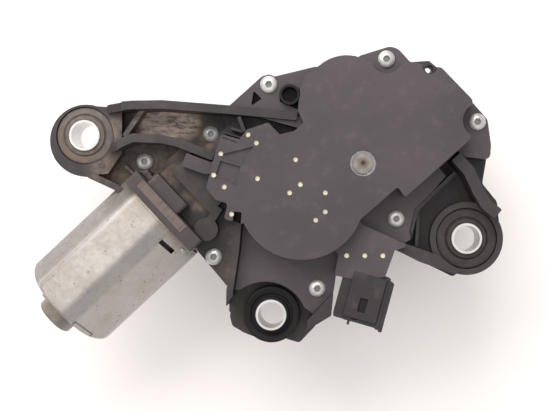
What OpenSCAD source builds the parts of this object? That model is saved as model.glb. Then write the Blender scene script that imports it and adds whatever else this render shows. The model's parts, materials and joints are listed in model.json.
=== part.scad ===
// Rear wiper drive: gear housing, lid, motor and pendulum gear.
// Origin: output shaft axis at the plane of the mounting sleeves' lower faces.
// +Z points from the mounting side to the lid, +X and +Y lie in the mounting plane.

/* [Mounting] */
// Sleeve length, from the mounting plane
sleeve_h = 22; // [18:0.5:26]
// Sleeve bore radius
sleeve_r = 5.6; // [4:0.1:6]
// Rubber grommet radius
grommet_r = 12.3; // [11:0.1:13]

/* [Housing] */
// Height of the housing floor
floor_z = 2; // [1:0.5:4]
// Height where the lid meets the housing
split_z = 20; // [18:0.5:22]
// Height of the lid's top face
top_z = 36; // [34:0.5:38]
// Neck outer radius
neck_r = 9.5; // [9:0.1:11]
// Neck length below the mounting plane
neck_l = 24; // [20:1:28]

/* [Shaft] */
// Output shaft radius
shaft_r = 4.6; // [4.5:0.05:4.7]
// Tip of the output shaft below the mounting plane
tip_l = 48; // [46:1:55]

/* [Gears] */
// Gear module
gm = 1.25; // [1.25]
// Pinion teeth
zp = 16; // [16]
// Sector teeth on a full circle
zs = 42; // [42]
// Worm wheel teeth
zw = 35; // [35]
// Crank radius
crank_e = 7.5; // [7.5]
// Crank angle at rest
crank_a = 29; // [29]
// Rocker angle at rest
rocker_a = 93.17; // [93.17]
// Distance from the wheel's axis to the worm's axis
worm_d = 27.25; // [27.25]

/* [Hidden] */
$fn = 64;

// Centres of the three sleeves
SL = [-120, 12.5];
SR = [45, -32];
SB = [-39.5, -65];
// Worm wheel, rocker pin and crank pin
WC = [-32, -8];
PP = (zp + zs) / 2 * gm * [cos(rocker_a), sin(rocker_a)];
CP = WC + crank_e * [cos(crank_a), sin(crank_a)];
// Motor axis: its direction, the distance back from the wheel, and its height
MA = 223;
motor_back = 38;
motor_z = 13;
M0 = [WC[0] + motor_back * cos(MA) + worm_d * sin(MA), WC[1] + motor_back * sin(MA) - worm_d * cos(MA),
  motor_z];
// Screws: [x, y, height of the head's top]
scr_cover = [[-40, 33.5, 32.4], [10, 44.5, 30.8], [49, 18, 27.8], [14.5, -23.5, 24],
  [-19.5, -53.5, 23.6]];
scr_motor = [[-64.5, -40, 19.8], [-95, 1.5, 16.2], [-66, 13.5, 16.2]];
head_r = 3.7;
head_h = 2.4;
// Vent tube, and the small locating hole at the lid's upper edge
VT = [-31, 29];
LH = [28, 40.5];
// Wells in the lid, over the pins of the moulded-in leads
wells = [[-48.5, 12], [-45, 8.5], [-60, 4], [-63, -5], [-58.5, -10], [-55.5, -21.5], [-44.5, -6.5],
  [-28.5, 1.5], [-26.5, -9], [-31, -12.5], [-16, -12.5], [-16, -20.5], [-20, -24]];
// Leads, each from one well to another
leads = [[0, 1], [1, 6], [2, 3], [3, 4], [4, 5], [6, 9], [7, 8], [8, 10], [10, 11], [11, 12]];
stem_wells = [for (i = [-1:1]) [0.8 + 7.7 * i, -39.2]];
// Gap round each part of the housing where the lid fits into it
fit = 0.12;

// ---- helpers -------------------------------------------------------------
function xy(q) = [q[0], q[1]];
function unit(v) = v / norm(v);
function adiff(a, b) = let(d = b - a) d > 180 ? d - 360 : (d < -180 ? d + 360 : d);
function corner(p0, p1, p2, r) =
  let(a = unit(p0 - p1), b = unit(p2 - p1), c = max(-0.9999, min(0.9999, a * b)), h = acos(c) / 2)
  let(t = min(r / tan(h), 0.48 * norm(p0 - p1), 0.48 * norm(p2 - p1)), rr = t * tan(h))
  let(q = p1 + unit(a + b) * (rr / sin(h)), s = p1 + a * t - q, e = p1 + b * t - q)
  let(a0 = atan2(s[1], s[0]), d = adiff(a0, atan2(e[1], e[0])), n = max(1,
    ceil(abs(d) / (r > 3 ? 18 : 35))))
  h > 86 ? [p1] : [for (i = [0:n]) q + rr * [cos(a0 + d * i / n), sin(a0 + d * i / n)]];
function rp(p) = let(n = len(p)) [for (i = [0:n - 1])
  each (len(p[i]) > 2 && p[i][2] > 0.05)
    ? corner(xy(p[(i + n - 1) % n]), xy(p[i]), xy(p[(i + 1) % n]), p[i][2])
    : [xy(p[i])]];
function ins(p, d) = let(n = len(p)) [for (i = [0:n - 1])
  let(a = xy(p[(i + n - 1) % n]), b = xy(p[i]), c = xy(p[(i + 1) % n]), u = unit(b - a), v = unit(c - b))
  let(k = d / max(0.3, 1 + u * v), cr = u[0] * v[1] - u[1] * v[0], r = len(p[i]) > 2 ? p[i][2] : 0)
  [b[0] - (u[1] + v[1]) * k, b[1] + (u[0] + v[0]) * k, r < 0.05 ? 0 : max(0.3, cr > 0 ? r - d : r + d)]];
function gear_pts(z, m, tk, ad, dd, ph, i0 = 0, i1 = -1) =
  [for (i = [i0:(i1 < 0 ? z - 1 : i1)]) let(r = z * m / 2, w = tk / r * 28.65, a = ph + i * 360 / z)
    each [for (q = [[r - dd, -w * 1.45], [r, -w], [r + ad, -w * 0.5], [r + ad, w * 0.5], [r, w],
      [r - dd, w * 1.45]])
      [q[0] * cos(a + q[1]), q[0] * sin(a + q[1])]]];

// Lid outline without its round lobes, counter-clockwise: [x, y, corner radius]
lid_o = [[-66, -10.5, 1], [-62, -15.5, 1], [-57, -17, 0], [-58.5, -23.5, 1], [-51, -25.5, 0],
  [-26, -19, 0],
  [-1.5, -24, 0], [14.5, -10, 1], [17.5, -14.5, 1], [45, 10, 1], [46, 26.5, 2], [33, 40, 1],
    [20, 42.5, 2],
  [2, 43, 0], [-7, 34, 0], [-18.5, 41, 0], [-24.5, 37, 1.5], [-26.5, 32, 1.5], [-27.5, 22, 1],
    [-25, 17, 1],
  [-29, 13.5, 1], [-35, 12, 0], [-40, 17, 1], [-49, 14, 1], [-52, 10, 0], [-59.5, 12, 1], [-62, 5, 0]];
wheel_lobe = [-26, -14];
rocker_lobe = [-7, 28];
// Stem between the lid and the connector
stem_o = [[-12.5, -36.5, 0], [-10.5, -38.5, 0.4], [-12, -47.5, 0], [0, -50, 0], [9.5, -48, 0],
  [13.5, -37, 0.4],
  [18, -35.5, 0], [18, -34, 0], [0, -26, 0.4], [-1, -24.5, 0], [-8, -30, 0]];
// Room for the gears inside the tub and the lid
cavity_o = [[-50, -20.5, 0], [-26, -16, 0], [-3, -23, 0], [14.5, -7.5, 0], [17, -11.5, 0], [42.5, 11, 0],
  [43.5, 26, 0], [32, 37, 0], [24, 36.5, 0], [19, 40, 0], [2, 40.5, 0], [-7, 34, 0], [-18, 39, 0],
    [-23.5, 36, 0],
  [-25, 32, 0], [-25.5, 22.5, 0], [-23.5, 16.5, 0], [-28, 11, 0], [-35.5, 9.5, 0], [-40.5, 13, 0],
  [-47.5, 11.5, 0], [-51, 6, 0], [-52.5, -8, 0]];
// Motor can section, in the plane across the motor axis: one half, and the same turned round
can_half = [[22, -5, 4], [22, 5, 4], [9, 18, 5], [2, 20.2, 5], [-13, 17.5, 4]];
can_o = concat(can_half, [for (q = can_half) [-q[0], -q[1], q[2]]]);

module slab(p, z0, z1) {
  translate([0, 0, z0])
    linear_extrude(height = z1 - z0)
      polygon(rp(p));
}
module cyl(c, r, z0, z1) {
  translate([c[0], c[1], z0])
    cylinder(h = z1 - z0, r = r);
}
module tube(c, r1, r0, z0, z1) {
  difference() {
    cyl(c, r1, z0, z1);
    cyl(c, r0, z0 - 1, z1 + 1);
  }
}
module at_motor() {
  translate(M0)
    rotate([0, 0, MA])
      children();
}
// A prism along the motor axis from x0 to x1
module along(p, x0, x1) {
  translate([x0, 0, 0])
    rotate([90, 0, 90])
      linear_extrude(height = x1 - x0)
        polygon(rp(p));
}
// A round along the motor axis
module axial(r, x0, x1, y = 0, z = 0) {
  translate([x0, y, z])
    rotate([0, 90, 0])
      cylinder(h = x1 - x0, r = r);
}
module box(x0, x1, y0, y1, z0, z1) {
  translate([x0, y0, z0])
    cube([x1 - x0, y1 - y0, z1 - z0]);
}
// A straight rib from a to b
module rib(a, b, w, z0, z1) {
  d = b - a;
  translate([a[0], a[1], z0])
    rotate([0, 0, atan2(d[1], d[0])])
      translate([0, -w / 2, 0])
        cube([norm(d), w, z1 - z0]);
}

// Outline of a band of width w along the open path p
function joint(p, k) =
  let(n = len(p), a = k > 0 ? unit(p[k] - p[k - 1]) : unit(p[1] - p[0]), b = k < n - 1 ? unit(p[k + 1] - p[k]) : a)
  let(m = [-(a[1] + b[1]), a[0] + b[0]])
  m / (1 + a * b);
function band(p, w, bend = 4) = let(n = len(p)) concat(
  [for (k = [0:n - 1]) let(q = p[k] - joint(p, k) * w / 2) [q[0], q[1], k == 0 || k == n - 1 ? 0.6 : bend]],
  [for (k = [n - 1:-1:0]) let(q = p[k] + joint(p, k) * w / 2) [q[0], q[1], k == 0 || k == n - 1 ? 0.6 : bend]]);
// A rib of even width along a path
module run(p, w, z0, z1) {
  slab(band(p, w), z0, z1);
}

// The lid's outline drawn inwards by d, as a solid from z0 to z1
module lid_body(d, z0, z1) {
  difference() {
    union() {
      slab(ins(lid_o, d), z0, z1);
      cyl(wheel_lobe, 26.7 - d, z0, z1);
      cyl(rocker_lobe, 17.3 - d, z0, z1);
    }
    cyl(scr_cover[1], 6.8 + d, z0 - 1, z1 + 1);
    cyl(scr_cover[2], 7.2 + d, z0 - 1, z1 + 1);
    cyl(LH, 3.1 + d, z0 - 1, z1 + 1);
  }
}
module cavity(z0, z1) {
  difference() {
    union() {
      slab(cavity_o, z0, z1);
      cyl(wheel_lobe, 24.4, z0, z1);
      cyl(rocker_lobe, 15.8, z0, z1);
    }
    cyl(scr_cover[1], 8.4, z0 - 1, z1 + 1);
    cyl(scr_cover[2], 9.6, z0 - 1, z1 + 1);
    cyl(LH, 5, z0 - 1, z1 + 1);
  }
}

// ---- housing ---------------------------------------------------------------
lug_a = [[-58, 23.5, 0], [-27, 15, 0], [-22, 22, 0], [-19, 41.5, 1], [-37.5, 37, 2], [-40, 38, 2],
  [-43, 37, 2]];
lug_b = [[-6, 38, 0], [18, 34, 0], [21, 42.5, 1], [15, 49, 3], [11.5, 50, 3], [-1.5, 46, 2]];
lug_h = [[22, 37, 0], [30, 35, 0], [34, 38.5, 1], [28, 43.5, 1], [20, 43, 1]];
lug_c = [[40, 6, 0], [44, 3, 0], [54.5, 2, 2], [55, 8, 3], [53.5, 19, 4], [46.5, 27, 2], [40, 24, 0]];
wing = [[14, -37, 1], [24.5, -41.5, 1], [40, -49, 1.5], [42, -47.5, 1], [61, -31, 0], [59.5, -16, 2],
  [53, -8, 2],
  [55, 4, 3], [50, 12, 0], [40, 6, 0], [10, -20, 0], [0, -30, 0]];
plate_d = [[-4, -22, 0], [0, -26.5, 0], [18, -34, 0], [21.5, -32, 1], [23.5, -19.5, 1], [36, -5, 0],
  [30, 2, 0],
  [10, -6, 0]];
plate_e = [[-57, -54, 0], [-43.5, -54.5, 0], [-26, -61, 0], [-20, -65.5, 0.5], [-12.5, -55, 0.5],
  [-10.5, -41.5, 1], [-10.5, -20, 0], [-50, -15, 0], [-54, -22, 0]];
plate_f = [[-72, -37, 1], [-59, -52.5, 1], [-56, -53, 0], [-52, -22, 0], [-60, -14, 0], [-66, -22, 0]];
foot = [[-58, -66.5, 1], [-57, -70.5, 1.5], [-52, -73.5, 2], [-45.5, -76, 3], [-34, -76, 3],
  [-27.5, -78, 1.5],
  [-20.5, -70.5, 1], [-17, -60, 0], [-30, -49, 0], [-57, -52, 0]];
arm_web = [[-119, -6, 1], [-107.5, -11, 1], [-101, -15, 1], [-97, -13, 1], [-94.5, -14.5, 1],
  [-89, -9.5, 0],
  [-68, -31, 0], [-60, -22, 0], [-58, 24.5, 0], [-73, 26, 0], [-90, 27, 20], [-107, 25, 8],
    [-118, 25.5, 0]];
arm_low = [[0, -26, 0.4], [14.5, -37, 0.4], [24.5, -42, 0.5], [40, -47.5, 0.5], [42, -45.5, 0.5],
  [32, -39, 0.5],
  [18, -34, 0]];
strap_r = [[-28, -71.5, 1], [-26, -72.5, 1], [-13.5, -65, 0.8], [-12.5, -55, 0.5], [-20, -63, 0.3]];
// Ribs: a path and a width
rib_top = [[-110, 23.7], [-98, 24.8], [-85, 25], [-57, 22.8], [-28, 20]];
rib_mid = [[-111, 8.8], [-106.5, 7], [-102.5, 9], [-98, 11], [-86, 10.5], [-79, 9], [-63.5, 3]];
rib_low = [[-118, -4.5], [-107, -9.5], [-101.5, -13], [-96, -10.5]];
strap_l = [[-52.8, -20.5], [-54.2, -37], [-56.8, -54], [-57, -64.5]];
strut = [[39.5, 3], [45, -3], [49, -11.5], [52.5, -17.5], [57.5, -21.5]];
rib_w = 3.6;
strap_w = 2.8;
strut_w = 5;
// Pockets beside the first screw
pocket_a = [[-46.5, 31, 0.4], [-47.5, 24.5, 0.4], [-43, 27.5, 0.4]];
pocket_b = [[-36, 26.5, 0.4], [-27.5, 23, 0.4], [-27.2, 30, 0.4], [-30, 34, 0.4]];
// Centre and radius of the hollow round the bottom ear
hollow = [-42, -69];
hollow_r = 18.3;

module tub_group() {
  lid_body(-0.9, floor_z, split_z);
  cyl(WC, 25.8, floor_z + 0.3, 19.8);
  slab(lug_a, 18, 27.2);
  slab(lug_b, 14, 25.6);
  slab(lug_h, 19, 31);
  slab(lug_c, 8.2, 22.6);
}
module right_group() {
  slab(wing, 6, 10);
  slab(plate_d, 6.4, 18.8);
  run(strut, strut_w, 8.4, 30);
  slab(arm_low, 5.6, 24);
  rib([40, -3.5], [23.5, -19.5], 1.6, 8, 21);
  rib([23.5, -19], [21, -29.5], 1.6, 8.6, 20.8);
  rib([24.5, -19.5], [23.5, -35.5], 1.4, 8.2, 17);
  // ear
  cyl(SR, 15.8, 4.5, 20.4);
}
module bottom_group() {
  slab(plate_e, 5, 18.4);
  slab(plate_f, 5.3, 17.4);
  slab(foot, 4.7, 11.5);
  run(strap_l, strap_w, 4.4, 28);
  slab(strap_r, 6, 26);
  // round post beside the motor flange
  cyl([-67, -28], 5, 6, 26);
  rib([-65.5, -24.5], [-61.5, -18.5], 3.6, 6.2, 25.9);
}
module left_group() {
  cyl(SL + [0.5, -2.2], 15.6, 4.5, 20.4);
  slab([[-120, 25.5, 0], [-122, -5, 0], [-110, -4, 0], [-104, 5, 0], [-104, 24.5, 0.5]], 4.6, 20.3);
  slab(arm_web, 9, 13.4);
  difference() {
    run(rib_top, rib_w, 9.4, 32);
    translate([-112, 0, 20.9])
      rotate([0, -38, 0])
        box(-20, 14.5, 0, 60, 0, 60);
  }
  difference() {
    run(rib_mid, rib_w, 9.4, 30);
    translate([-112, 0, 21])
      rotate([0, -38, 0])
        box(-20, 11.4, -10, 60, 0, 60);
  }
  run(rib_low, 2.8, 4.1, 22);
  rib([-102.5, 12], [-94.5, 24], 2.1, 9.8, 23);
  rib([-112.5, 5.5], [-114, -2.5], 2.2, 9.9, 19.6);
  for (i = [1, 2]) cyl(scr_motor[i], 6, 8.6, 13.8);
  rib([-103, -0.5], [-95, -8.5], 1.2, 9.5, 17);
}
module motor_group() {
  at_motor() {
    box(-30, -15, -9, 16.5, -15, 8);
    box(-16, 5.4, -15.5, 16.5, -14.9, 7.9);
    box(-55.5, -28, -8.5, 5, -9.2, 8.2);
    box(-16, -4.5, -10.5, 14, -10, 12);
    box(2.6, 5.3, -20.5, 20.5, -19, 8.1);
  }
}

module gear_housing() color("#2b2a2f") {
  difference() {
    union() {
      tub_group();
      union() right_group();
      union() bottom_group();
      union() left_group();
      union() motor_group();
    }
    // inside of the tub, and room for the lid and its stem
    cavity(5, 60);
    lid_body(-fit, split_z, 60);
    slab(ins(stem_o, -fit), 21.4, 60);
    cyl(WC, 23.6, 5.2, 18.6);
    // worm tunnel
    at_motor() {
      axial(6.7, -47.4, 6.4);
      axial(7.2, -1.6, 6.4);
      axial(5, -52, -40);
      axial(1.6, -53.2, -50);
    }
    // ears
    cyl(SL, grommet_r + 0.15, 13, 30);
    cyl(SL, 9.2, 0, 30);
    cyl(SR, 13.25, 13, 30);
    cyl(SR, 9.2, 0, 30);
    cyl(hollow, hollow_r, 11.5, 40);
    cyl(SB, 9.2, 0, 12);
    // room for the can and the brush holder
    at_motor() {
      along(ins(can_o, -0.4), 12.1, 80);
      holder_body(0.15);
    }
    // pockets
    slab(pocket_a, 22, 40);
    slab(pocket_b, 23, 40);
    cyl([LH[0], LH[1] - 0.5], 1.7, 18, 40);
    cyl(VT, 4.5, 24, 40);
    for (i = [1, 2]) cyl(scr_motor[i], head_r + 0.5, scr_motor[i][2] - head_h, 40);
    // screw holes and pin seats
    for (s = concat(scr_cover, scr_motor)) cyl(s, 2.05, s[2] - 15.5, s[2] + 1);
    cyl([0, 0], 7, 0, 9);
    cyl(WC, 3, floor_z + 0.6, 6);
    rib([-84.5, 0.5], [-90.5, -5.5], 2.8, 13.5, 40);
  }
  // bosses inside the tub
  tube([0, 0], 10, 7, 4, 8);
  tube(WC, 5.5, 3, 4, 8);
}

module housing_neck() color("#2b2a2f") {
  tube([0, 0], neck_r, 7, -neck_l, floor_z);
}

module flanges() {
  difference() {
    union() {
      slab(lug_a, 27.2, 30);
      slab(lug_b, 25.6, 28.4);
      slab(lug_c, 22.6, 25.4);
      slab(plate_d, 18.8, 21.6);
      slab(plate_e, 18.4, 21.2);
    }
    lid_body(-1.2, 10, 20.4);
    run(rib_top, rib_w + 2 * fit, 10, 40);
    slab(ins(strap_r, -fit), 10, 40);
    slab(ins(arm_low, -fit), 10, 40);
    run(strut, strut_w + 2 * fit, 10, 40);
    slab(ins(lug_h, -fit), 10, 40);
    slab([[-50.5, -56.5, 0], [-59.5, -56.5, 0], [-59.5, -16, 0], [-51, -16, 0], [-52.5, -37, 0],
      [-55, -54, 0]], 10, 40);
    cyl(hollow, hollow_r + 0.1, 10, 40);
    cyl(VT, 4.5, 10, 40);
    rib([40, -3.5], [23.5, -19.5], 1.9, 8, 40);
    rib([23.5, -19], [21, -29.5], 1.9, 8, 40);
    rib([21.2, -28], [22, -36.5], 1.9, 8, 40);
    slab(ins(pocket_a, 0), 22, 40);
    slab([[-36, 26.5, 1], [-27.5, 23, 1], [-27.5, 17, 1], [-25, 30, 1], [-30, 34, 1]], 23, 40);
  }
}
module blade_slots() {
  translate([3, -47.95, 0])
    rotate([0, 0, -15.1])
      for (x = [-5.5, 0, 5.5]) box(x - 1.2, x + 1.2, -6, 3.5, 22.5, 23.5);
}

module gear_cover() color("#312f35") {
  difference() {
    union() {
      flanges();
      lid_body(0, split_z + 0.4, top_z);
      // stem to the connector
      slab(stem_o, 21.6, 30);
      // lead box at the motor side
      difference() {
        slab([[-67, -4.5, 0], [-60, -4, 0], [-60, 4, 0], [-64.5, 0.5, 0], [-75, 4.5, 0.4],
          [-77, -1, 0.4]], 25.1, 30);
        run(rib_mid, rib_w + 2 * fit, 10, 40);
      }
    }
    cavity(split_z - 1, top_z - 2.2);
    run(strap_l, strap_w + 0.7, 10, 40);
    // stem is hollow below
    slab([[-9, -38.5, 0], [-9.5, -44.5, 0], [9, -46, 0], [11.5, -38.5, 0], [2, -30, 0],
      [-4, -33, 0]], 20, 28);
    slab([[-67, -3, 0], [-66, -0.5, 0], [-74.5, 3, 0], [-75.5, -0.5, 0]], 20, 28.4);
    blade_slots();
    // shaft opening, and room for the vent tube
    cyl([0, 0], 5.5, 20, 40);
    cyl(VT, 4.5, 20, 40);
    // recessed windows
    slab([[-62.5, -6.5, 0.3], [-58, -7, 0.3], [-53.5, -9.5, 0.3], [-51.5, -1.5, 0.2], [-60, 1, 0.3]],
      top_z - 1.4, 40);
    slab([[-59.5, 2, 0.2], [-51, -1, 0.2], [-49.5, 2.5, 0], [-46, 7, 0.2],
      [-60, 3.5, 0.2]], top_z - 1.4, 40);
    // slots
    rib([-59, 10.8], [-53, 8.5], 0.5, top_z - 0.8, 40);
    lead_ways(0.1);
    for (w = wells) cyl(w, 1.1, top_z - 4, 40);
    for (w = stem_wells) cyl(w, 1.1, 26, 40);
    for (s = scr_cover) cyl(s, 2.3, 15, 40);
  }
}

module connector_shroud() color("#29282c") {
  difference() {
    translate([3, -47.95, 0])
      rotate([0, 0, -15.1])
        difference() {
          union() {
            slab([[-10.9, -20.3, 0.5], [9.2, -20.8, 0.5], [9.4, -21.9, 0.3], [10.9, -21.9, 0.5],
              [10.9, -0.2, 0.8],
              [-10.9, -0.2, 0.8]], 15.8, 29.4);
            for (x = [-10.9, 9.7]) box(x, x + 1.2, -19, -3, 14.4, 17);
            box(-6.2, 2.6, -20.5, -1.4, 29, 30.2);
            box(7.7, 8.9, -21.2, -0.6, 29, 30);
            box(-4.4, -3.4, -22.2, -19, 28.2, 29.4);
          }
          box(-8.9, 8.9, -23, -5.5, 17.6, 27.8);
          box(-3.2, -0.6, -19.6, -12.8, 26, 32);
        }
    slab(stem_o, 10, 30.3);
    blade_slots();
  }
}

// The leads and their pins, with g of room round them
module lead_ways(g) {
  for (w = wells) cyl(w, 1.04, 32.6 - g, top_z - 1.3);
  for (q = leads) rib(wells[q[0]], wells[q[1]], 1.6 + 2 * g, 32.6 - g, 33.8 + g);
}
module lead_frame() color("#d8cfa8") {
  lead_ways(0);
  for (w = stem_wells) {
    cyl(w, 1.04, 26.8, 28.8);
    cyl(w, 1.8, 26.8, 28);
  }
}

module connector_terminals() color("#c9c4b4") {
  translate([3, -47.95, 0])
    rotate([0, 0, -15.1])
      for (x = [-5.5, 0, 5.5]) difference() {
        box(x - 1.15, x + 1.15, -16.5, 3.2, 22.55, 23.45);
        rib([x - 1.8, -15.4], [x, -17.2], 0.9, 20, 25);
        rib([x + 1.8, -15.4], [x, -17.2], 0.9, 20, 25);
      }
}

// Round-head screw with a six-lobe recess; s = [x, y, height of the head's top]
module screw(s, len) {
  translate([s[0], s[1], s[2]])
    difference() {
      union() {
        rotate_extrude()
          polygon(concat([[0, -head_h], [head_r, -head_h]],
            [for (a = [0:15:90]) [head_r * cos(a), -head_h * 0.8 + head_h * 0.8 * sin(a)]]));
        translate([0, 0, -head_h - len])
          cylinder(h = len, r = 2);
      }
      translate([0, 0, -1.5]) {
        cylinder(h = 3, r = 1.25);
        for (a = [0:60:300])
          rotate([0, 0, a])
            translate([1.2, 0, 0])
              cylinder(h = 3, r = 0.42);
      }
    }
}
module cover_screws() color("#d9d9d6") {
  for (s = scr_cover) screw(s, 12);
}
module motor_screws() color("#d9d9d6") {
  screw(scr_motor[0], 11);
  for (i = [1, 2]) screw(scr_motor[i], 7);
}
module vent_tube() color("#1d1d1f") {
  tube(VT, 4.4, 3.2, 24, 34);
}
module cover_gasket() color("#3b3b3d") {
  difference() {
    lid_body(0.1, split_z, split_z + 0.4);
    cavity(split_z - 1, split_z + 1);
    run(strap_l, strap_w + 0.7, 10, 40);
  }
}

// Rubber grommet with a groove for the ear, two flanges and an inner ring
module grommet(c, r) {
  translate([c[0], c[1], 0])
    rotate_extrude()
      polygon([[6.6, 1], [11.6, 1], [12, 1.4], [12, 3.6], [11.6, 4.2], [9.1, 4.4], [9.1, 13.1],
        [r, 13.1], [r, 18.8],
        [r - 0.25, 19.4], [r - 0.9, 19.7], [9.6, 20.0], [9.2, 19.7], [8.9, 19.3], [8.6, 19.6],
          [8.4, 20.4], [7.4, 20.6], [6.6, 20.4]]);
}
module grommet_left() color("#4b464a") {
  grommet(SL, grommet_r);
}
module grommet_right() color("#454245") {
  grommet(SR, 13.1);
}
module grommet_bottom() color("#232226") {
  translate([SB[0], SB[1], 0])
    rotate_extrude()
      polygon([[6.6, 1], [11.6, 1], [12, 1.4], [12, 3.6], [11.6, 4.2], [9.1, 4.4], [9.1, 11.6],
        [12.3, 11.6], [12.3, 17],
        [12.0, 17.8], [11.2, 18.1], [9.4, 17.4], [8.6, 16.6], [8.1, 16.6], [7.6, 18.8], [6.6, 19.4]]);
}
// Steel sleeve inside a grommet
module sleeve(c) {
  tube(c, 6.6, sleeve_r, 0, sleeve_h - 0.3);
  tube(c, 6.45, sleeve_r, sleeve_h - 0.3, sleeve_h);
}
module sleeve_left() color("#e4e3df") {
  sleeve(SL);
}
module sleeve_right() color("#e4e3df") {
  sleeve(SR);
}
module sleeve_bottom() color("#e4e3df") {
  sleeve(SB);
}

module output_bushes() color("#a9834a") {
  tube([0, 0], 7, shaft_r + 0.05, -22, -13);
  tube([0, 0], 7, shaft_r + 0.05, -2, 8);
}
module shaft_seal() color("#1c1c1e") {
  tube([0, 0], 7, shaft_r + 0.02, -12.5, -9);
}
module neck_cap_seal() color("#1c1c1e") {
  tube([0, 0], neck_r, shaft_r + 0.06, -neck_l - 3, -neck_l);
  tube([0, 0], 7.6, shaft_r + 0.06, -neck_l - 5, -neck_l - 3);
}
module wheel_axle() color("#b8b9bb") {
  cyl(WC, 3, 2.6, 18.4);
}

// ---- motor -------------------------------------------------------------------
module barrel(r, c, x0, x1) {
  translate([x0, 0, 0])
    rotate([0, 90, 0])
      rotate_extrude()
        polygon(concat([[0, 0], [r, 0]],
          [for (a = [0:9:90]) [r - c + c * cos(a), x1 - x0 - c + c * sin(a)]], [[0, x1 - x0]]));
}
module motor_can() color("#c6c3bd") {
  at_motor() {
    difference() {
      union() {
        intersection() {
          along(can_o, 12.3, 71);
          barrel(22.8, 7.5, 10, 71);
        }
        axial(8.6, 70, 77);
        axial(8.0, 77, 77.6);
        axial(7.2, 77.6, 78);
      }
      intersection() {
        along(ins(can_o, 1.6), 11, 69.4);
        barrel(21, 6.5, 10, 69.4);
      }
      axial(7, 69, 76.4);
      box(17.4, 19.6, 8.6, 15.4, 8, 20);
    }
    box(70.6, 72.2, -9.5, -5.5, 8.5, 11.5);
  }
}
module magnets() color("#3a3a3c") {
  at_motor()
    for (m = [0, 180]) rotate([m, 0, 0])
      difference() {
        axial(16.7, 24, 62);
        axial(13.4, 23, 63);
        rotate([50, 0, 0]) box(20, 66, -30, 0, -30, 30);
        rotate([-50, 0, 0]) box(20, 66, -30, 0, -30, 30);
      }
}
module magnet_clips() color("#9a9b9d") {
  at_motor()
    for (m = [1, -1]) {
      box(28, 58, -7, 7, 15.2 * m - 0.4, 15.2 * m + 0.4);
      box(28, 58, -7.4, -6.6, 13.8 * m - 1.6, 13.8 * m + 1.2);
      box(28, 58, 6.6, 7.4, 13.8 * m - 1.6, 13.8 * m + 1.2);
    }
}
module rear_bearing() color("#a9834a") {
  at_motor()
    difference() {
      axial(6.4, 70, 75.6);
      axial(4.05, 69, 77);
    }
}
module bearing_retainer() color("#b5b6b8") {
  at_motor()
    difference() {
      axial(7, 69.2, 70);
      axial(5, 68, 71);
    }
}
module ring(r1, r0, x0, x1) {
  difference() {
    axial(r1, x0, x1);
    axial(r0, x0 - 1, x1 + 1);
  }
}
module front_bearing() color("#b9babd") {
  at_motor() {
    ring(7.2, 6.3, -1.5, 5.4);
    ring(6.3, 5.2, 0, 4);
    ring(5.2, 4.04, -1.5, 5.4);
  }
}
module worm_end_bush() color("#a9834a") {
  at_motor()
    difference() {
      axial(5, -51.8, -47.6);
      axial(3.05, -53, -46);
    }
}
module thrust_ball() color("#b9babd") {
  at_motor()
    translate([-51.72, 0, 0])
      sphere(r = 1.45);
}
holder_o = [[-20, -18, 3], [20.6, -18, 3], [20.6, 19.6, 0.8], [-20, 19.6, 0.8]];
holder_top = [[-14, 8.2, 1], [5.5, 8.2, 1], [5.5, 17, 1.6], [-14, 17, 1.6]];
// The brush holder's plate and the raised box on it, with g of room round them
module holder_body(g) {
  along(ins(holder_o, -g), 5.5 - g, 12.2 + g);
  along(ins(holder_top, -g), -0.2 - g, 5.6);
}
module brush_holder() color("#2c2a2e") {
  at_motor()
    difference() {
      union() {
        holder_body(0);
        axial(16.4, 12, 20.5);
      }
      axial(5, 0, 30);
      axial(8.2, 11.6, 30);
      axial(14.8, 15, 30);
      box(13.9, 19.1, -30, 30, -2.1, 2.1);
      box(6.4, 11.4, -14.2, -1.8, 9.9, 14.1);
      box(6.4, 11.4, 3.8, 11.2, 8.9, 15.1);
    }
}
module brushes() color("#3d3a38") {
  at_motor()
    for (m = [1, -1]) difference() {
      box(14, 19, m > 0 ? 6.4 : -11.5, m > 0 ? 11.5 : -6.4, -2, 2);
      axial(7.05, 12, 21);
    }
}
module brush_springs() color("#bcbdbf") {
  at_motor()
    for (m = [1, -1], k = [0:2])
      translate([16.5, m * (11.95 + k * 0.9), 0])
        rotate([90, 0, 0])
          rotate_extrude($fn = 32)
            translate([1.4, 0])
              circle(r = 0.4, $fn = 12);
}
module choke() color("#4a4038") {
  at_motor()
    translate([8.9, -14, 12])
      rotate([-90, 0, 0])
        cylinder(h = 12, r = 2);
}
module capacitor() color("#8a5a2c") {
  at_motor()
    box(6.6, 11.2, 4, 11, 9.1, 14.9);
}

// ---- moving parts --------------------------------------------------------------
module output_shaft() color("#9c948c") {
  difference() {
    union() {
      cyl([0, 0], shaft_r, -32, 34.6);
      cyl([0, 0], shaft_r - 0.4, 34.5, 35);
      translate([0, 0, -37])
        cylinder(h = 5, r1 = 4.05, r2 = shaft_r);
      cyl([0, 0], 3.9, -tip_l + 1, -37);
      cyl([0, 0], 3.2, -tip_l, -tip_l + 1);
    }
    tube([0, 0], 8, 4.15, 29.5, 30.5);
    cyl([0, 0], 1.15, 33.8, 40);
  }
}
module output_pinion() color("#8d8f92") {
  difference() {
    union() {
      translate([0, 0, 20.6])
        linear_extrude(height = 5)
          polygon(gear_pts(zp, gm, 1.75, 1.15, 1.5, rocker_a + 180 / zp));
      cyl([0, 0], 7, 8.2, 21);
    }
    cyl([0, 0], shaft_r, 0, 40);
  }
}
module shaft_washer() color("#b5b6b8") {
  tube([0, 0], 7.2, shaft_r + 0.05, 28.6, 29.4);
}
module shaft_clip() color("#8f9092") {
  difference() {
    tube([0, 0], 6.6, 4.2, 29.6, 30.4);
    box(-1.6, 1.6, -8, 0, 28, 32);
  }
}
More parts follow.
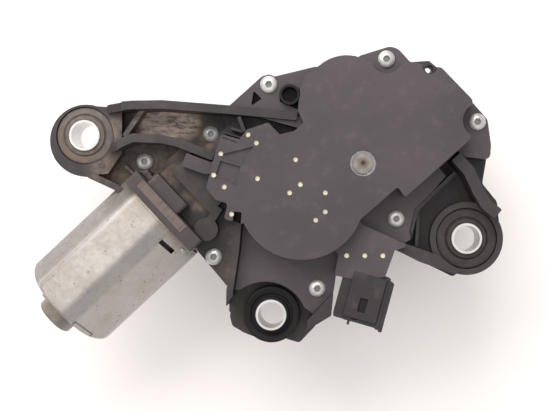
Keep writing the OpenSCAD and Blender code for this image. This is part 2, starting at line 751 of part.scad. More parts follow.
module rocker_plate() color("#a3a5a8") {
  difference() {
    union() {
      cyl([0, 0], 7.6, 25.9, 28.5);
      cyl(PP, 5, 25.9, 28.5);
      rib([0, 0], PP, 9.6, 25.9, 28.5);
    }
    cyl([0, 0], shaft_r + 0.05, 20, 30);
    cyl(PP, 3, 20, 30);
  }
}
module rocker_pin() color("#b8b9bb") {
  cyl(PP, 3, 20.8, 28.5);
  cyl(PP, 4, 28.5, 29.4);
}
// The link bends round the lid's waist, and carries the toothed sector beside its rocker pin
link_bend = [-4.6, 17.2];
link_w = 6.8;
sector_root = 24.6;
sector_from = 258;
sector_to = 314;
module sector_link() color("#96989b") {
  difference() {
    union() {
      cyl(PP, 5.4, 21, 25.6);
      cyl(CP, 5.6, 21, 25);
      slab(band([CP, link_bend, PP], link_w, 5), 21.2, 24.8);
      translate([PP[0], PP[1], 21])
        linear_extrude(height = 4)
          polygon(concat([[0, 0]], [sector_root * [cos(sector_from), sin(sector_from)]],
            gear_pts(zs, gm, 1.75, 1.15, 1.5, rocker_a + 180 - 360 / zs, 0, 5),
            [sector_root * [cos(sector_to), sin(sector_to)]]));
    }
    cyl(PP, 3.05, 20, 30);
    cyl(CP, 3.1, 20, 30);
    cyl(PP + 15.5 * [cos(292), sin(292)], 3.2, 20, 30);
  }
}
module worm_wheel() color("#d9d2bd") {
  translate([WC[0], WC[1], 0])
    difference() {
      union() {
        translate([0, 0, 9])
          rotate([0, 0, 133 - 1.23])
            linear_extrude(height = 8, twist = -2.46, slices = 4)
              polygon(gear_pts(zw, gm, 1.6, 0.9, 1.15, 0));
        cyl([0, 0], 6, 8.2, 17.4);
      }
      cyl([0, 0], 3.05, 0, 40);
      cyl([CP[0] - WC[0], CP[1] - WC[1]], 3, 12, 40);
      tube([0, 0], 18.4, 12, 8, 11);
    }
}
module crank_pin() color("#b8b9bb") {
  cyl(CP, 3, 12, 20.6);
}
module contact_disc() color("#c08a4a") {
  difference() {
    tube(WC, 18.4, 12, 17, 17.5);
    translate([WC[0], WC[1], 16])
      rotate([0, 0, 200])
        translate([15.5, -3, 0])
          cube([6, 6, 4]);
  }
}
module armature_shaft() color("#aeb0b3") {
  at_motor() {
    axial(3, -50.2, -28.9);
    axial(4, -28.9, 75.8);
  }
}
module worm() color("#a2a4a7") {
  at_motor()
    difference() {
      rotate([66, 0, 0])
        translate([-47, 0, 0])
          rotate([90, 0, 90])
            linear_extrude(height = 18, twist = -360 * 18 / (PI * gm), slices = 74)
              polygon([for (a = [0:15:345]) let(z = abs((a > 180 ? a - 360 : a) / 360 * PI * gm),
                r = z < 0.45 ? 6.2 : (z > 1.15 ? 4.15 : 6.2 - (z - 0.45) / 0.7 * 2.05)) [r * cos(a),
                  r * sin(a)]]);
      axial(3, -60, -20);
    }
}
module armature_core() color("#77787b") {
  at_motor()
    difference() {
      axial(12.8, 28, 58);
      axial(4, 20, 70);
      for (a = [0:36:324]) rotate([a, 0, 0]) {
        box(27, 59, -0.8, 0.8, 11.4, 14);
        axial(2.1, 27, 59, 0, 9.4);
      }
    }
}
module armature_windings() color("#9c4f24") {
  at_motor()
    difference() {
      union() {
        barrel(11.6, 2.5, 58, 63.5);
        axial(11.4, 23.4, 28);
        for (a = [0:36:324])
          rotate([a, 0, 0])
            axial(1.9, 27, 59, 0, 9.3);
      }
      axial(4, 20, 70);
    }
}
module commutator() color("#b26a3c") {
  at_motor()
    difference() {
      union() {
        axial(7, 13, 21);
        axial(7.8, 21, 23.3);
      }
      axial(4, 10, 30);
      for (a = [0:36:324]) rotate([a, 0, 0]) box(12, 24, -0.25, 0.25, 6.2, 9);
    }
}

gear_housing();
gear_cover();
connector_shroud();
lead_frame();
connector_terminals();
cover_screws();
motor_screws();
vent_tube();
cover_gasket();
grommet_left();
grommet_right();
grommet_bottom();
housing_neck();
sleeve_left();
sleeve_right();
sleeve_bottom();
output_bushes();
shaft_seal();
neck_cap_seal();
wheel_axle();
motor_can();
magnets();
magnet_clips();
rear_bearing();
bearing_retainer();
front_bearing();
worm_end_bush();
thrust_ball();
brush_holder();
brushes();
brush_springs();
choke();
capacitor();
output_shaft();
output_pinion();
shaft_washer();
shaft_clip();
rocker_plate();
rocker_pin();
sector_link();
worm_wheel();
crank_pin();
contact_disc();
armature_shaft();
worm();
armature_core();
armature_windings();
commutator();
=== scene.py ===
"""Looks for the rear wiper drive: camera, floor, light, materials and small added pieces.

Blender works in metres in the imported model's frame, and the lid faces +Z, towards the camera.
Places and sizes below are in millimetres where the name or the comment says so, and MM turns
them into metres. The CAD nodes and the added pieces sit at the origin when the model is at
rest, so their object coordinates are the frame's own.
"""
import json
import math

import bmesh
import bpy
from mathutils import Matrix, Vector


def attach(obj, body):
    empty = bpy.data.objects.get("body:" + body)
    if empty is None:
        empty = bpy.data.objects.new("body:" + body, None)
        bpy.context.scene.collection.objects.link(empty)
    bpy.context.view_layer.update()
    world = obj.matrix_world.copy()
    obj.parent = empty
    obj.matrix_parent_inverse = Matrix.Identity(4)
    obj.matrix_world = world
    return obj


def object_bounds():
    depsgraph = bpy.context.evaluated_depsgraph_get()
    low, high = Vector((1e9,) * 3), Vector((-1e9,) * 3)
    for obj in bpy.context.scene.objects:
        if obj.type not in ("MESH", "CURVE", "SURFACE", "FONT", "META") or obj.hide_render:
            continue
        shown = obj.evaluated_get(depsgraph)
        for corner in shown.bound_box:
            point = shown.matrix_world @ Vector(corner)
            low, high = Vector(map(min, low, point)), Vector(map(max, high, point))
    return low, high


MM = 0.001

# ---- camera -----------------------------------------------------------------------
CAMERA_AT = (-12.3 * MM, -21.0 * MM, 564.0 * MM)
LENS_MM = 82.6
SENSOR_MM = 36.0
SHIFT = (-0.1095, 0.0137)
NEAREST_SEEN = 0.01  # metres


def make_camera():
    data = bpy.data.cameras.new("camera")
    data.lens = LENS_MM
    data.sensor_width = SENSOR_MM
    data.shift_x, data.shift_y = SHIFT
    data.clip_start = NEAREST_SEEN
    camera = bpy.data.objects.new("camera", data)
    camera.location = CAMERA_AT
    bpy.context.scene.collection.objects.link(camera)
    bpy.context.scene.camera = camera


make_camera()
bpy.context.scene.view_settings.view_transform = "Standard"
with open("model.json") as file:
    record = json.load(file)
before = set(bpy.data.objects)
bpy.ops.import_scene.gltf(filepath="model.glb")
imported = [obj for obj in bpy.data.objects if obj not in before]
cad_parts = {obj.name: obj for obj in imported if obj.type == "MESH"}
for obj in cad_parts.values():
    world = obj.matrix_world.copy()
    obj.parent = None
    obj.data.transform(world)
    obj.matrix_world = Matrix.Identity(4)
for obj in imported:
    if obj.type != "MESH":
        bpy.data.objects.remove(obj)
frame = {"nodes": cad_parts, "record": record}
cad_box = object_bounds()


# ---- places in the frame ------------------------------------------------------------
# The motor's zero point, at the can's open end, and the way it points, as in part.scad
MOTOR_AT = Vector((-78.376, -13.987, 13.0))
MOTOR_TURN = Matrix.Rotation(math.radians(223.0), 3, "Z")
ALONG, ACROSS = 0, 1

# The connector's shroud, where its stem begins
SHROUD_AT = Vector((3.0, -47.95, 0.0))
SHROUD_TURN = Matrix.Rotation(math.radians(-15.1), 3, "Z")

# Middles of the screw heads: x, y in millimetres
SCREWS = [
    (-40, 33.5), (10, 44.5), (49, 18), (14.5, -23.5),
    (-19.5, -53.5), (-64.5, -40), (-95, 1.5), (-66, 13.5),
]

# Where brown dust lies on the housing: x, y, inner and outer radius in millimetres
DUSTY_PLACES = [
    (-92, 17, 6, 17), (-78, 17, 5, 14), (-107, 13, 3, 12), (-111, -2, 3, 11),
    (-101, -4, 3, 12), (-84, 0, 4, 12), (-72, -8, 3, 12), (-64, -12, 2, 9),
    (-52, -30, 2, 12), (-54, -45, 2, 11), (-40, 27, 2, 9), (-68, 12, 3, 9),
    (-90, -4, 3, 10), (-80, -7, 2, 6), (-75, -12, 2, 6), (-70, -18, 2, 5),
]

# Where the floor of the pocket in the left arm is rubbed pale, in the same way
BARE_PLACES = [(-93, 18, 3, 9), (-85, 18, 5, 9), (-77, 18, 3, 8)]

# Dust fades out between these two heights, in millimetres
DUST_ENDS, DUST_FULL = 25.0, 20.0


def in_frame(x, y, z):
    """A point in the frame's own millimetres."""
    return Vector((x, y, z)) * MM


def on_motor(x, y, z):
    """A point in the motor's millimetres: x along it to the can's end, y across, z up."""
    return (MOTOR_AT + MOTOR_TURN @ Vector((x, y, z))) * MM


def on_shroud(x, y, z):
    """A point in the shroud's millimetres: x across it, y towards its stem, z up."""
    return (SHROUD_AT + SHROUD_TURN @ Vector((x, y, z))) * MM


# ---- node helpers -----------------------------------------------------------------
EVEN = (1, 1, 1)
DULL_SPECULAR = 0.3


def toned(colour, factor):
    return [c * factor for c in colour]


class Graph:
    """One material's node tree, with short calls for the nodes used here."""

    def __init__(self, name):
        self.material = bpy.data.materials.new(name)
        self.material.use_nodes = True
        self.tree = self.material.node_tree
        self.shader = self.tree.nodes["Principled BSDF"]
        self.place = self.add("TexCoord").outputs["Object"]

    def add(self, kind):
        return self.tree.nodes.new("ShaderNode" + kind)

    def put(self, value, socket):
        """Links another node's output to a socket, or sets a plain value or colour on it."""
        if isinstance(value, bpy.types.NodeSocket):
            self.tree.links.new(value, socket)
        elif socket.type == "RGBA":
            socket.default_value = (*value, 1)
        else:
            socket.default_value = value

    def math(self, how, a, b, c=None, clamp=False):
        n = self.add("Math")
        n.operation = how
        n.use_clamp = clamp
        self.put(a, n.inputs[0])
        self.put(b, n.inputs[1])
        if c is not None:
            self.put(c, n.inputs[2])
        return n.outputs[0]

    def times(self, a, b, clamp=False):
        return self.math("MULTIPLY", a, b, clamp=clamp)

    def span(self, value, low, high):
        """A 0..1 value stretched to another range."""
        return self.math("MULTIPLY_ADD", value, high - low, low)

    def noise(self, per_metre, detail, rough, stretch=EVEN, warp=0.0):
        mapping = self.add("Mapping")
        mapping.inputs["Scale"].default_value = stretch
        self.put(self.place, mapping.inputs["Vector"])
        n = self.add("TexNoise")
        n.inputs["Scale"].default_value = per_metre
        n.inputs["Detail"].default_value = detail
        n.inputs["Roughness"].default_value = rough
        n.inputs["Distortion"].default_value = warp
        self.put(mapping.outputs[0], n.inputs["Vector"])
        return n.outputs["Fac"]

    def step(self, value, start, end):
        """0 at start, rising smoothly to 1 at end."""
        n = self.add("MapRange")
        n.interpolation_type = "SMOOTHSTEP"
        n.inputs["From Min"].default_value = start
        n.inputs["From Max"].default_value = end
        self.put(value, n.inputs["Value"])
        return n.outputs["Result"]

    def band(self, value, start, end, soft):
        """1 between start and end, with soft edges."""
        rise = self.step(value, start - soft, start + soft)
        fall = self.step(value, end - soft, end + soft)
        return self.math("SUBTRACT", rise, fall, clamp=True)

    def near(self, x, y, inner, outer):
        """1 within inner millimetres of a point seen from above, fading to 0 at outer."""
        mapping = self.add("Mapping")
        mapping.inputs["Location"].default_value = (-x * MM, -y * MM, 0.0)
        mapping.inputs["Scale"].default_value = (1, 1, 0)
        self.put(self.place, mapping.inputs["Vector"])
        n = self.add("VectorMath")
        n.operation = "LENGTH"
        self.put(mapping.outputs[0], n.inputs[0])
        return self.step(n.outputs["Value"], outer * MM, inner * MM)

    def any_of(self, values):
        total = values[0]
        for value in values[1:]:
            total = self.math("MAXIMUM", total, value)
        return total

    def z_of(self, vector):
        n = self.add("SeparateXYZ")
        self.put(vector, n.inputs[0])
        return n.outputs["Z"]

    def facing_up(self):
        return self.z_of(self.add("NewGeometry").outputs["Normal"])

    def motor_mm(self, direction):
        """Millimetres from the motor's zero point, ALONG or ACROSS it."""
        way = MOTOR_TURN.col[direction]
        n = self.add("VectorMath")
        n.operation = "DOT_PRODUCT"
        self.put(self.place, n.inputs[0])
        n.inputs[1].default_value = way
        return self.math("MULTIPLY_ADD", n.outputs["Value"], 1 / MM, -way.dot(MOTOR_AT))

    def mix(self, amount, a, b):
        n = self.add("Mix")
        n.data_type = "RGBA"
        self.put(amount, n.inputs["Factor"])
        self.put(a, n.inputs["A"])
        self.put(b, n.inputs["B"])
        return n.outputs["Result"]

    def coat(self, colour, mask, most, over):
        """Another colour laid over the first where the mask is, and at most that strongly."""
        return self.mix(self.times(mask, most), colour, over)

    def bump(self, height, depth_mm, strength):
        n = self.add("Bump")
        n.inputs["Strength"].default_value = strength
        n.inputs["Distance"].default_value = depth_mm * MM
        self.put(height, n.inputs["Height"])
        self.put(n.outputs[0], self.shader.inputs["Normal"])

    def finish(self, colour, rough, metal=0.0, dull=True):
        self.put(colour, self.shader.inputs["Base Color"])
        self.put(rough, self.shader.inputs["Roughness"])
        self.shader.inputs["Metallic"].default_value = metal
        if dull:
            self.shader.inputs["Specular IOR Level"].default_value = DULL_SPECULAR
        return self.material


# ---- materials --------------------------------------------------------------------
DUST = (0.17, 0.115, 0.075)
DUST_PALE = (0.25, 0.2, 0.165)
RUBBED_PALE = (0.66, 0.54, 0.48)


def lay_dust(g, colour, rough, most):
    """Dust in low places, most of it on upward faces, and the pocket's floor rubbed pale."""
    places = g.any_of([g.near(*place) for place in DUSTY_PLACES])
    up = g.step(g.facing_up(), -0.2, 0.8)
    low_down = g.step(g.z_of(g.place), DUST_ENDS * MM, DUST_FULL * MM)
    patch = g.step(g.noise(170.0, 7.0, 0.72, warp=0.4), 0.3, 0.7)
    amount = g.times(g.times(places, patch), g.span(up, 0.6, 1.0))
    amount = g.times(amount, g.span(low_down, 0.14, most), clamp=True)
    dust = g.mix(g.step(g.noise(90.0, 4.0, 0.6), 0.35, 0.65), DUST, DUST_PALE)
    colour = g.mix(amount, colour, dust)
    rough = g.math("ADD", rough, g.times(amount, 0.35), clamp=True)
    bare = g.any_of([g.near(*place) for place in BARE_PLACES])
    scratch = g.step(g.noise(210.0, 7.0, 0.75, stretch=(0.7, 2.2, 1.0), warp=0.5), 0.34, 0.62)
    bare = g.times(g.times(bare, scratch), g.times(low_down, up))
    return g.coat(colour, bare, 0.92, RUBBED_PALE), rough


def plastic(name, base, dust=0.0, rough=0.42):
    """Glass-filled plastic: fine grain, mottled sheen, a haze and, where asked for, dust."""
    g = Graph(name)
    mottle = g.noise(55.0, 5.0, 0.6)
    cloud = g.noise(18.0, 3.0, 0.5)
    grain = g.noise(2600.0, 2.0, 0.6)
    colour = g.mix(g.step(cloud, 0.3, 0.75), toned(base, 0.86), toned(base, 1.16))
    sheen = g.span(mottle, rough - 0.08, rough + 0.14)
    haze = g.step(g.noise(140.0, 6.0, 0.7), 0.5, 0.74)
    colour = g.coat(colour, haze, 0.12, DUST_PALE)
    if dust:
        colour, sheen = lay_dust(g, colour, sheen, dust)
    specks = g.step(g.noise(1500.0, 1.0, 0.5), 0.74, 0.8)
    colour = g.coat(colour, specks, 0.25, DUST_PALE)
    g.bump(grain, 0.03, 0.5)
    return g.finish(colour, sheen)


def rubber(name, base, dusty_at=None):
    """Matt rubber, with dust round a point (x, y) where one is given."""
    g = Graph(name)
    mottle = g.noise(240.0, 5.0, 0.65)
    colour = g.mix(g.step(mottle, 0.3, 0.75), toned(base, 0.75), toned(base, 1.3))
    if dusty_at:
        side = g.near(*dusty_at, inner=2.0, outer=13.0)
        patch = g.step(g.noise(320.0, 6.0, 0.7), 0.4, 0.62)
        colour = g.coat(colour, g.times(side, patch), 0.85, DUST)
    g.bump(g.noise(1800.0, 3.0, 0.6), 0.05, 0.5)
    return g.finish(colour, g.span(mottle, 0.62, 0.85))


def metal(name, base, rough, scratch=EVEN, stain=None, stained=0.0):
    """Bare or plated metal: uneven sheen, fine scratches and, where asked for, stains."""
    g = Graph(name)
    cloud = g.noise(60.0, 5.0, 0.62)
    lines = g.noise(900.0, 3.0, 0.6, stretch=scratch)
    colour = g.mix(g.step(cloud, 0.3, 0.7), toned(base, 0.86), toned(base, 1.08))
    sheen = g.span(lines, rough - 0.06, rough + 0.1)
    if stain:
        amount = g.times(g.step(g.noise(156.0, 6.0, 0.7), 0.5, 0.68), stained)
        colour = g.mix(amount, colour, stain)
        sheen = g.math("ADD", sheen, g.times(amount, 0.2), clamp=True)
    g.bump(lines, 0.02, 0.35)
    return g.finish(colour, sheen, metal=1.0, dull=False)


def screw_metal():
    """Bright domed screw heads with painted shade in the recess."""
    zinc_dark, zinc_pale, recess_shade = (0.5, 0.5, 0.49), (0.72, 0.72, 0.71), (0.07, 0.07, 0.07)
    g = Graph("zinc_screw")
    cloud = g.noise(300.0, 4.0, 0.6)
    colour = g.mix(g.step(cloud, 0.3, 0.7), zinc_dark, zinc_pale)
    # Painted shade: each head darkened round the screw's axis, where its recess is
    recess = g.any_of([g.near(x, y, inner=1.15, outer=1.75) for x, y in SCREWS])
    colour = g.coat(colour, recess, 0.8, recess_shade)
    g.bump(g.noise(1200.0, 3.0, 0.6), 0.02, 0.4)
    return g.finish(colour, g.span(cloud, 0.3, 0.44), metal=0.55, dull=False)


def shaft_metal():
    """Turned steel with a worn, brown dimple at the end seen in the lid, its middle painted
    dark: brown colour with painted shade.
    """
    steel_dark, steel_pale = (0.17, 0.155, 0.145), (0.27, 0.25, 0.235)
    worn_brown, dimple_brown_and_shade = (0.13, 0.095, 0.07), (0.06, 0.04, 0.03)
    g = Graph("shaft_steel")
    cloud = g.noise(260.0, 5.0, 0.65)
    colour = g.mix(g.step(cloud, 0.3, 0.7), steel_dark, steel_pale)
    worn = g.times(g.near(0, 0, inner=1.6, outer=3.0), g.step(cloud, 0.2, 0.6))
    colour = g.coat(colour, worn, 0.75, worn_brown)
    # The dimple's middle: its own dark brown, and painted shade of the hollow
    colour = g.mix(g.near(0, 0, inner=0.45, outer=1.0), colour, dimple_brown_and_shade)
    g.bump(g.noise(900.0, 3.0, 0.6), 0.03, 0.5)
    return g.finish(colour, g.span(cloud, 0.3, 0.45), metal=0.8, dull=False)


def galvanised():
    """Zinc-coated can: painted shade in a valley and down one side, a painted pale flat and a
    painted highlight on the ridge, warm stains, soil, specks and scuffs.
    """
    zinc_dark, zinc_pale = (0.3, 0.28, 0.26), (0.5, 0.475, 0.45)
    g = Graph("galvanised_can")
    cloud = g.noise(42.0, 5.0, 0.6)
    fine = g.noise(420.0, 6.0, 0.7)
    tone = g.math("MULTIPLY_ADD", fine, 0.4, g.times(cloud, 0.6))
    colour = g.mix(g.step(tone, 0.3, 0.7), zinc_dark, zinc_pale)

    # Light and shade across the can: a pale flat, a dull valley and side, and a pale ridge
    along, across = g.motor_mm(ALONG), g.motor_mm(ACROSS)
    # Painted light on the flat beside the valley
    colour = g.coat(colour, g.step(across, 8.0, 10.0), 0.5, (0.66, 0.63, 0.6))
    # Painted shade in the valley and down the left side
    valley = g.band(across, 2.5, 8.5, soft=1.6)
    left = g.step(across, -13.0, -16.0)
    shade = g.any_of([valley, g.times(left, 0.55)])
    colour = g.coat(colour, shade, 0.6, (0.19, 0.19, 0.195))
    # Painted highlight along the ridge
    ridge = g.band(across, -14.2, -12.2, soft=0.5)
    colour = g.coat(colour, ridge, 0.4, (0.66, 0.65, 0.64))

    # Warm stains, rust near the end's corner and soil at the mouth
    warm = g.step(g.noise(75.0, 6.0, 0.66, warp=0.5), 0.48, 0.7)
    colour = g.coat(colour, warm, 0.4, (0.4, 0.32, 0.24))
    rust = g.near(-133, -63.5, inner=3, outer=9)
    mouth = g.band(along, 11.0, 15.0, soft=2.5)
    soil = g.times(g.any_of([rust, mouth]), g.step(fine, 0.35, 0.6))
    colour = g.coat(colour, soil, 0.6, (0.2, 0.15, 0.095))

    # A thin stamped frame near the end
    outline = g.times(g.band(along, 67.9, 70.6, soft=0.2), g.band(across, 8.8, 17.6, soft=0.2))
    inside = g.times(g.band(along, 68.5, 70.0, soft=0.2), g.band(across, 9.4, 17.0, soft=0.2))
    stamped = g.math("SUBTRACT", outline, inside, clamp=True)
    colour = g.coat(colour, stamped, 0.75, (0.06, 0.05, 0.045))

    specks = g.step(g.noise(640.0, 2.0, 0.6), 0.66, 0.73)
    colour = g.coat(colour, specks, 0.7, (0.12, 0.1, 0.09))
    scuffs = g.step(g.noise(130.0, 5.0, 0.7, stretch=(5.0, 0.6, 1.0), warp=0.2), 0.62, 0.74)
    colour = g.coat(colour, scuffs, 0.3, (0.75, 0.73, 0.7))
    g.bump(g.noise(300.0, 5.0, 0.6), 0.06, 0.5)
    return g.finish(colour, g.span(cloud, 0.4, 0.58), metal=0.45)


def label_paper():
    """A dusty strip with uneven bars of no meaning."""
    paper, bar = (0.15, 0.115, 0.105), (0.075, 0.06, 0.058)
    g = Graph("label_strip")
    bars = g.add("TexNoise")
    bars.noise_dimensions = "1D"
    bars.inputs["Scale"].default_value = 1.3
    bars.inputs["Detail"].default_value = 1.0
    g.put(g.motor_mm(ACROSS), bars.inputs["W"])
    lines = g.step(bars.outputs["Fac"], 0.53, 0.6)
    wear = g.step(g.noise(260.0, 6.0, 0.7), 0.3, 0.6)
    colour = g.mix(g.times(lines, wear), paper, bar)
    g.bump(g.noise(900.0, 3.0, 0.6), 0.03, 0.4)
    return g.finish(colour, g.span(wear, 0.55, 0.75))


def floor_paper():
    """Near-white paper with a faint glow, so the corners don't go grey."""
    glow, glow_strength = (1.0, 0.965, 0.955), 0.1
    g = Graph("floor")
    soft = g.noise(9.0, 3.0, 0.5)
    colour = g.mix(g.step(soft, 0.3, 0.7), (0.93, 0.905, 0.895), (0.95, 0.925, 0.915))
    g.put(glow, g.shader.inputs["Emission Color"])
    g.shader.inputs["Emission Strength"].default_value = glow_strength
    return g.finish(colour, g.span(soft, 0.8, 0.9))


# Base colours are linear. Each row is named by the record's material slot.
PLASTICS = {
    "housing_plastic": {"base": (0.036, 0.031, 0.033), "dust": 0.85},
    "lid_plastic": {"base": (0.066, 0.055, 0.062), "rough": 0.4},
    "connector_plastic": {"base": (0.028, 0.024, 0.027)},
    "holder_plastic": {"base": (0.056, 0.048, 0.049), "dust": 0.95},
    "carbon": {"base": (0.02, 0.02, 0.02), "rough": 0.6},
    "amber_resin": {"base": (0.3, 0.13, 0.03), "rough": 0.2},
    "wheel_plastic": {"base": (0.66, 0.6, 0.45), "rough": 0.4},
}
RUBBERS = {
    "black_rubber": {"base": (0.011, 0.0095, 0.01)},
    "grey_rubber": {"base": (0.046, 0.039, 0.039)},
    "dusty_rubber": {"base": (0.14, 0.12, 0.11), "dusty_at": (-125, 6)},
}
METALS = {
    "sleeve_metal": {"base": (0.58, 0.57, 0.56), "rough": 0.28, "scratch": (1, 1, 6)},
    "tinned_brass": {
        "base": (0.66, 0.62, 0.48), "rough": 0.4,
        "stain": (0.5, 0.42, 0.25), "stained": 0.3,
    },
    "sintered_bronze": {
        "base": (0.5, 0.34, 0.16), "rough": 0.45,
        "stain": (0.2, 0.13, 0.07), "stained": 0.4,
    },
    "steel": {
        "base": (0.56, 0.57, 0.58), "rough": 0.28, "scratch": (1, 1, 8),
        "stain": (0.24, 0.2, 0.16), "stained": 0.25,
    },
    "ferrite": {"base": (0.09, 0.09, 0.095), "rough": 0.6},
    "copper": {
        "base": (0.72, 0.32, 0.16), "rough": 0.3, "scratch": (1, 1, 4),
        "stain": (0.25, 0.1, 0.05), "stained": 0.3,
    },
    "lamination_steel": {
        "base": (0.22, 0.22, 0.23), "rough": 0.45, "scratch": (9, 1, 1),
        "stain": (0.1, 0.08, 0.07), "stained": 0.4,
    },
}
materials = {
    "zinc_screw": screw_metal(),
    "shaft_steel": shaft_metal(),
    "galvanised_steel": galvanised(),
}
for make, looks in ((plastic, PLASTICS), (rubber, RUBBERS), (metal, METALS)):
    for slot, look in looks.items():
        materials[slot] = make(slot, **look)

for part in frame["record"]["subparts"]:
    cad_materials = frame["nodes"][part["node"]].data.materials
    cad_materials.clear()
    cad_materials.append(materials[part["material_slot"]])


# ---- softened edges on the CAD nodes -----------------------------------------------
WELD_MM = 0.002
FLAT_WITHIN = math.radians(1.0)
CORNER_FROM = math.radians(35.0)

SOFTENED_MM = {
    "gear_cover": 0.35, "gear_housing": 0.35, "motor_can": 0.5,
    "connector_shroud": 0.3, "brush_holder": 0.3, "vent_tube": 0.3,
}


def soften(piece, width_mm):
    """Rounds a CAD node's sharp edges a little, after its flat faces are merged."""
    weld = piece.modifiers.new("weld", "WELD")
    weld.merge_threshold = WELD_MM * MM
    flat = piece.modifiers.new("flat", "DECIMATE")
    flat.decimate_type = "DISSOLVE"
    flat.angle_limit = FLAT_WITHIN
    bevel = piece.modifiers.new("bevel", "BEVEL")
    bevel.width = width_mm * MM
    bevel.segments = 2
    bevel.limit_method = "ANGLE"
    bevel.angle_limit = CORNER_FROM


for name, width in SOFTENED_MM.items():
    soften(frame["nodes"][name], width)


# ---- shapes of the added pieces ------------------------------------------------------
def rectangle(x0, x1, y0, y1):
    return [(x0, y0), (x1, y0), (x1, y1), (x0, y1)]


def join(bm, ring, other):
    """Four-sided faces between two rings with equally many corners."""
    for i in range(len(ring)):
        j = (i + 1) % len(ring)
        bm.faces.new((ring[i], ring[j], other[j], other[i]))


def add_piece(name, bm, slot, edge, look=None):
    """Makes a piece that rides on the drive unit, its edges rounded by edge millimetres."""
    bmesh.ops.recalc_face_normals(bm, faces=bm.faces)
    mesh = bpy.data.meshes.new(name)
    bm.to_mesh(mesh)
    bm.free()
    mesh.materials.append(look or materials[slot])
    piece = bpy.data.objects.new(name, mesh)
    bpy.context.scene.collection.objects.link(piece)
    if edge:
        bevel = piece.modifiers.new("bevel", "BEVEL")
        bevel.width = edge * MM
        bevel.segments = 3
        bevel.limit_method = "ANGLE"
    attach(piece, "drive_unit")


def strip(name, path, x0, x1, thick, slot, edge=0.15, look=None):
    """A flat band that follows (y, z) points across the motor, from x0 to x1 along it."""
    bm = bmesh.new()
    rings = []
    for i, (y, z) in enumerate(path):
        before, after = path[max(0, i - 1)], path[min(len(path) - 1, i + 1)]
        across = Vector((after[0] - before[0], after[1] - before[1])).normalized()
        up = Vector((-across.y, across.x)) * thick
        corners = [(x0, y, z), (x1, y, z), (x1, y + up.x, z + up.y), (x0, y + up.x, z + up.y)]
        rings.append([bm.verts.new(on_motor(*corner)) for corner in corners])
    for ring, other in zip(rings, rings[1:]):
        join(bm, ring, other)
    bm.faces.new(rings[0][::-1])
    bm.faces.new(rings[-1])
    add_piece(name, bm, slot, edge, look)


def plate(name, outline, z0, z1, slot, hole=None, place=in_frame, edge=0.3):
    """A flat plate between z0 and z1. A hole has as many corners as the outline."""
    bm = bmesh.new()
    loops = [outline, hole] if hole else [outline]
    bottom, top = [
        [[bm.verts.new(place(x, y, z)) for x, y in loop] for loop in loops] for z in (z0, z1)
    ]
    for ring, other in zip(bottom, top):
        join(bm, ring, other)
    for level in (bottom, top):
        if hole:
            join(bm, *level)
        else:
            bm.faces.new(level[0])
    add_piece(name, bm, slot, edge)


def fin(name, start, end, width, z0, z1):
    """A short upright rib from start to end."""
    a, b = Vector(start), Vector(end)
    side = (b - a).normalized().orthogonal() * width / 2
    outline = [tuple(corner) for corner in (a - side, b - side, b + side, a + side)]
    plate(name, outline, z0, z1, "housing_plastic", edge=0.2)


# ---- added pieces, in millimetres ----------------------------------------------------
# On the motor: the strip on its holder, the can's rim in two bands, and a bent tab
strip("label_strip", [(-15.0, 19.55), (12.2, 19.55)], 5.9, 9.7, 0.2, "holder_plastic",
      edge=0.06, look=label_paper())
strip("can_rim", [(-9.8, 18.1), (-6.0, 18.8), (-2.0, 19.5), (2.0, 20.0), (6.0, 18.9)],
      12.35, 13.2, 0.5, "galvanised_steel")
strip("can_rim_end", [(11.7, 15.3), (17.8, 9.2)], 12.4, 13.8, 0.4, "galvanised_steel")
strip("can_tab", [(16.6, 10.3), (18.2, 8.7)], 14.3, 15.9, 0.9, "zinc_screw", edge=0.3)

# On the connector: the top panel, a black plate painting shade at the bottom of its window, and
# the neck behind it
plate("shroud_panel", rectangle(-7.0, 7.4, -18.8, 0.4), 29.3, 31.2, "connector_plastic",
      hole=rectangle(-1.5, 1.7, -15.6, -9.8), place=on_shroud, edge=0.25)
# Painted shade: a black plate that darkens the bottom of the window
plate("shroud_slot_shade", rectangle(-2.0, 2.3, -16.2, -9.2), 29.2, 30.3, "black_rubber",
      place=on_shroud, edge=0)
plate("shroud_neck", [(-10.4, -1.6), (9.0, -1.6), (9.0, 1.2), (-9.4, 3.2)], 18.0, 29.25,
      "connector_plastic", place=on_shroud, edge=0.4)

# On the housing: webs that close the deck's corners, and fins. The web's slanted edge and
# the fins' lower ends stay outside the worm's tunnel.
plate("deck_web", [(-62, 23.5), (-50, 24.5), (-49.3, 23.8), (-58.8, 14.9)], 16.2, 17.6,
      "housing_plastic")
plate("corner_web", [(-61, -13.5), (-54.5, -13.5), (-54, -20), (-60.5, -20)], 15.5, 17.0,
      "housing_plastic")
fin("deck_fin_tall", (-52.7, 20.0), (-50.3, 13.4), width=1.7, z0=20.2, z1=31.0)
fin("deck_fin_mid", (-56.2, 15.0), (-50.8, 13.4), width=1.3, z0=20.2, z1=30.0)
fin("deck_fin_low", (-59.0, 13.2), (-51.5, 10.9), width=0.8, z0=20.2, z1=29.0)


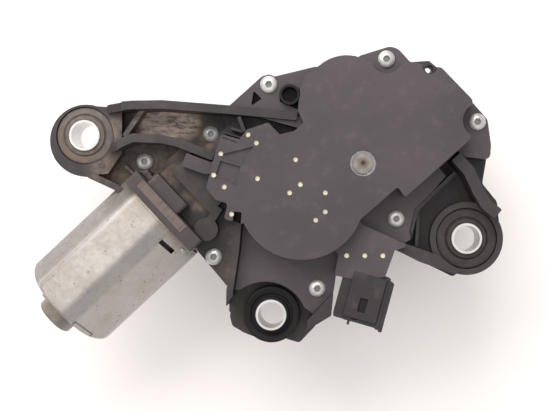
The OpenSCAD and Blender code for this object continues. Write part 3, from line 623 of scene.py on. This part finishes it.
# ---- floor and light ------------------------------------------------------------------
FLOOR_SIZE = 2.5
FLOOR_GAP = 0.2 * MM
SKY_COLOUR = (1.0, 0.955, 0.935, 1)
SKY_LOW, SKY_HIGH = 0.42, 0.62
SKY_TOP_FROM = 0.9


def make_floor():
    mesh = bpy.data.meshes.new("floor")
    bm = bmesh.new()
    bmesh.ops.create_grid(bm, x_segments=4, y_segments=4, size=FLOOR_SIZE)
    bm.to_mesh(mesh)
    bm.free()
    floor = bpy.data.objects.new("floor", mesh)
    floor.location.z = cad_box[0][2] - FLOOR_GAP
    mesh.materials.append(floor_paper())
    bpy.context.scene.collection.objects.link(floor)


def area_light(name, at, towards, size, power, colour):
    data = bpy.data.lights.new(name, "AREA")
    data.shape = "RECTANGLE"
    data.size, data.size_y = size
    data.energy = power
    data.color = colour
    light = bpy.data.objects.new(name, data)
    light.location = at
    light.rotation_euler = (Vector(towards) - Vector(at)).to_track_quat("-Z", "Y").to_euler()
    bpy.context.scene.collection.objects.link(light)


def make_sky():
    """A warm white sky, a little brighter overhead than at the horizon."""
    world = bpy.data.worlds.new("studio")
    world.use_nodes = True
    nodes, links = world.node_tree.nodes, world.node_tree.links
    way = nodes.new("ShaderNodeTexCoord").outputs["Generated"]
    up = nodes.new("ShaderNodeSeparateXYZ")
    links.new(way, up.inputs[0])
    fade = nodes.new("ShaderNodeMapRange")
    fade.inputs["From Max"].default_value = SKY_TOP_FROM
    fade.inputs["To Min"].default_value = SKY_LOW
    fade.inputs["To Max"].default_value = SKY_HIGH
    links.new(up.outputs["Z"], fade.inputs["Value"])
    links.new(fade.outputs["Result"], nodes["Background"].inputs["Strength"])
    nodes["Background"].inputs["Color"].default_value = SKY_COLOUR
    bpy.context.scene.world = world


make_floor()
area_light("window", at=(-0.22, 0.42, 0.55), towards=(-0.03, 0.0, 0),
           size=(0.7, 0.45), power=5.0, colour=(1.0, 0.965, 0.945))
area_light("overhead", at=(0.1, -0.1, 1.3), towards=(0.0, 0.0, 0),
           size=(1.6, 1.6), power=6.5, colour=(1.0, 0.965, 0.95))
make_sky()
